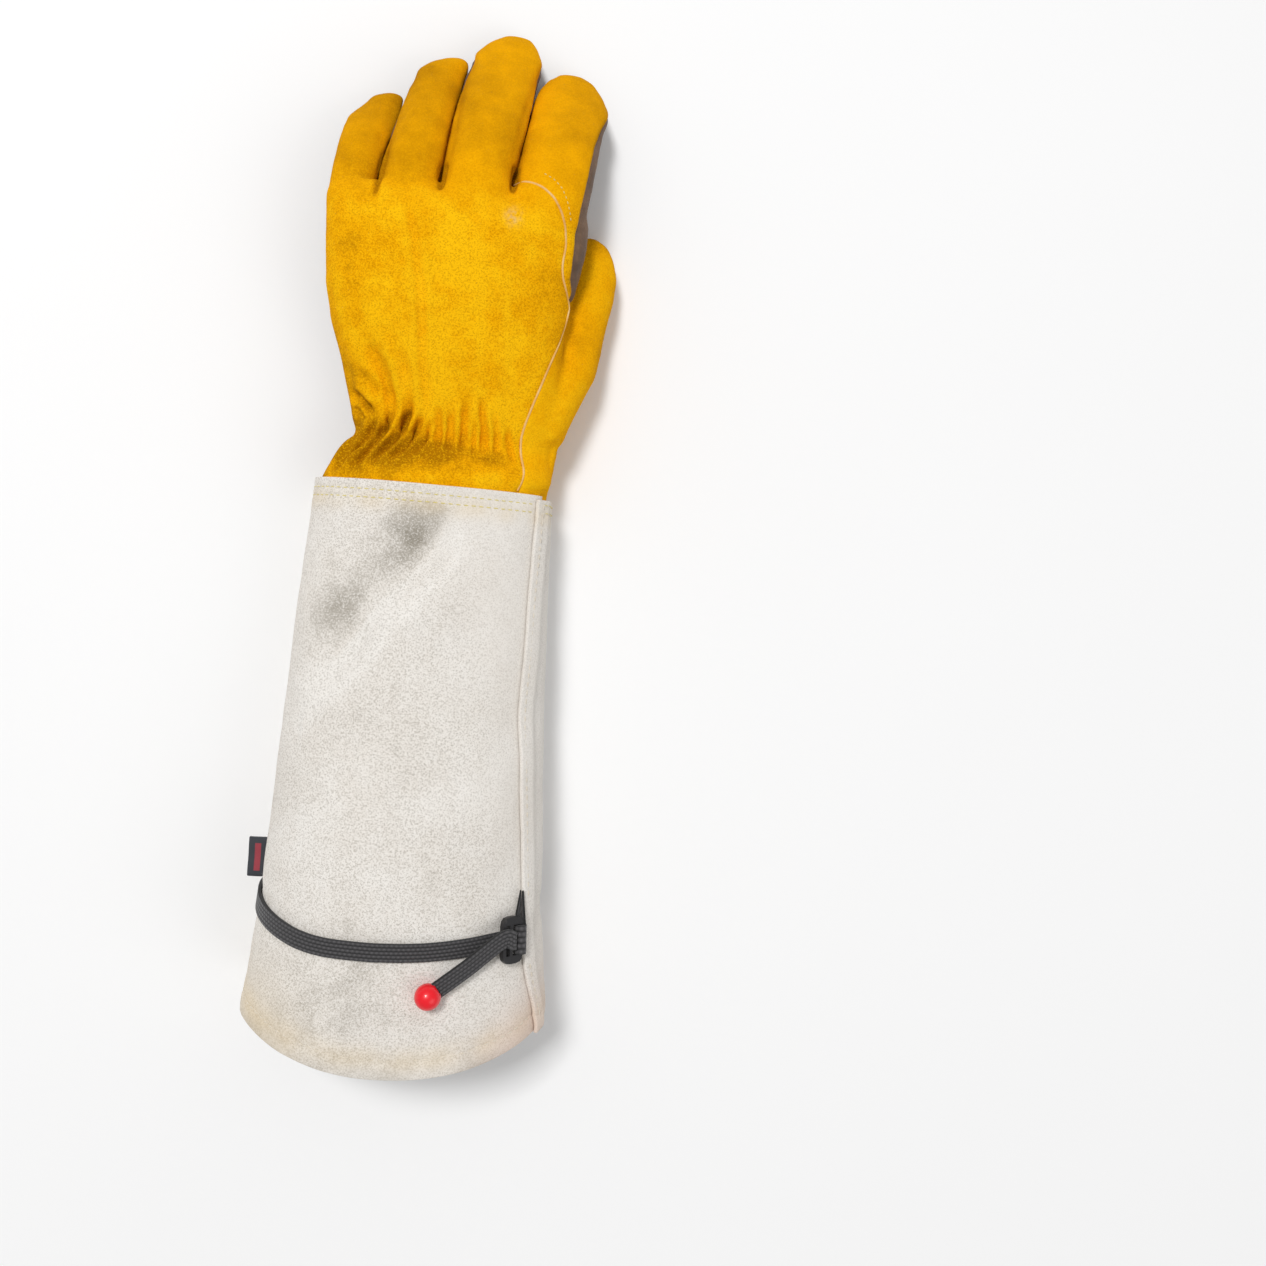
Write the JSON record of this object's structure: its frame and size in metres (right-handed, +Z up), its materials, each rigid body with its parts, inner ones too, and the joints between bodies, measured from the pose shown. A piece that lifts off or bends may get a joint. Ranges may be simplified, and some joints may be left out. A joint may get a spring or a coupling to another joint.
{
  "type": "rose pruning gauntlet",
  "caption": "Long pruning gauntlet for the left hand: suede hand with a gathered wrist, sewn into a flared split-leather cuff with a webbing strap, a slider and a ball on the strap's tail.",
  "frame": {"origin": "on the floor under the middle of the glove's outline", "axes": "+Y along the cuff towards the fingertips, +X towards the thumb, +Z up out of the back of the hand"},
  "size_m": [0.1546, 0.486, 0.0966],
  "materials": {
    "yellow_suede": "napped suede, golden yellow",
    "brown_leather": "smooth grain, matt",
    "welt": "plain tan strip",
    "cream_split_leather": "split leather, coarse nap",
    "black_webbing": "ribbed webbing",
    "black_plastic": "moulded, half matt",
    "red_plastic": "moulded, glossy",
    "label": "woven tape, plain"
  },
  "bodies": {
    "root": {"back_panel": "yellow_suede", "index_panel": "yellow_suede", "thumb_panel": "yellow_suede", "palm_panel": "brown_leather", "seam_welt": "welt", "cuff_back": "cream_split_leather", "cuff_under": "cream_split_leather", "strap": "black_webbing", "slider_anchor": "black_webbing", "slider": "black_plastic", "strap_ball": "red_plastic", "label_tab": "label"}
  },
  "joints": []
}
